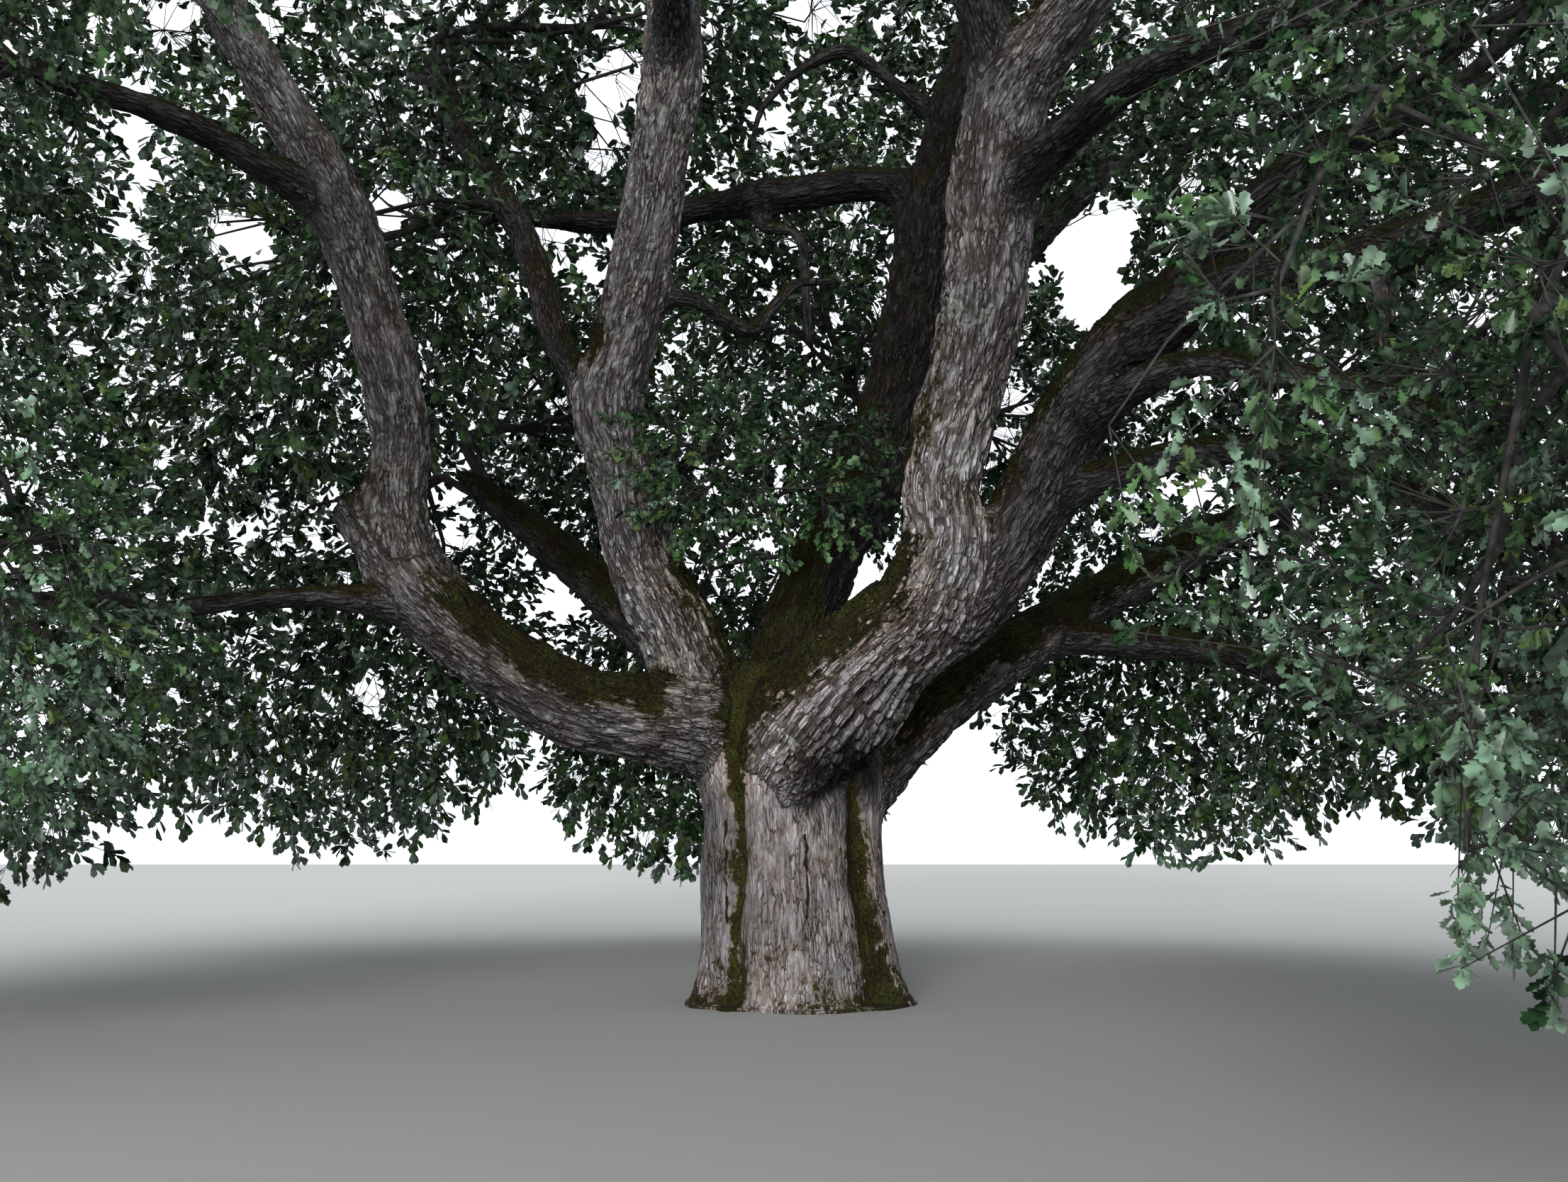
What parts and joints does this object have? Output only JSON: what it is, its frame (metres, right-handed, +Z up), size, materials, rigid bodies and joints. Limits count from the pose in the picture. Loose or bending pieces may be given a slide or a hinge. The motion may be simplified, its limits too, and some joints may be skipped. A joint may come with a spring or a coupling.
{
  "type": "oak tree",
  "caption": "Old open-grown oak: a short, thick, fluted trunk forking low into heavy upswept boughs under a broad domed leafy crown.",
  "frame": {"origin": "on the flat cut at ground level, under the middle of the trunk", "axes": "+Z up; -Y is the side that the picture shows, +X is to its right"},
  "size_m": [25.4908, 24.4609, 21.292],
  "materials": {
    "trunk_bark": "rough furrowed bark, pale grey, with moss",
    "bough_bark": "scaly grey bark, moss on its upper side",
    "foliage": "dark green leaves with a slight gloss"
  },
  "bodies": {
    "root": {"trunk": "trunk_bark", "bough_right_front": "bough_bark", "bough_centre_left": "bough_bark", "bough_left_low": "bough_bark", "bough_left_rise": "bough_bark", "bough_centre_back": "bough_bark", "bough_right_low": "bough_bark", "bough_back_left": "bough_bark", "bough_right": "bough_bark", "bough_right_reach": "bough_bark", "bough_back_left_high": "bough_bark", "bough_across": "bough_bark", "bough_fork_left": "bough_bark", "bough_left_side": "bough_bark", "bough_left_droop": "bough_bark", "bough_front": "bough_bark", "bough_right_side": "bough_bark", "bough_right_middle": "bough_bark", "bough_right_high": "bough_bark", "bough_right_droop": "bough_bark", "bough_back_high": "bough_bark", "bough_right_hanging": "bough_bark", "bough_back": "bough_bark", "bough_inner": "bough_bark", "leaves_low_front_right": "foliage", "leaves_low_right_front": "foliage", "leaves_low_right": "foliage", "leaves_low_right_back": "foliage", "leaves_low_back_right": "foliage", "leaves_low_back": "foliage", "leaves_low_left_back": "foliage", "leaves_low_left": "foliage", "leaves_low_left_front": "foliage", "leaves_mid_front": "foliage", "leaves_mid_front_right": "foliage", "leaves_mid_right_front": "foliage", "leaves_mid_right_back": "foliage", "leaves_mid_back_right": "foliage", "leaves_mid_back": "foliage", "leaves_mid_back_left": "foliage", "leaves_mid_left_back": "foliage", "leaves_mid_left": "foliage", "leaves_mid_left_front": "foliage", "leaves_mid_front_left": "foliage", "leaves_heart_right": "foliage", "leaves_heart_left": "foliage", "leaves_heart_back": "foliage", "leaves_heart_high": "foliage", "leaves_high_front": "foliage", "leaves_high_front_right": "foliage", "leaves_high_right": "foliage", "leaves_high_back": "foliage", "leaves_high_back_left": "foliage", "leaves_high_left": "foliage", "leaves_high_front_left": "foliage", "leaves_top_front": "foliage", "leaves_top_right": "foliage", "leaves_top_left": "foliage", "leaves_crown_top": "foliage", "leaves_inner": "foliage"}
  },
  "joints": []
}
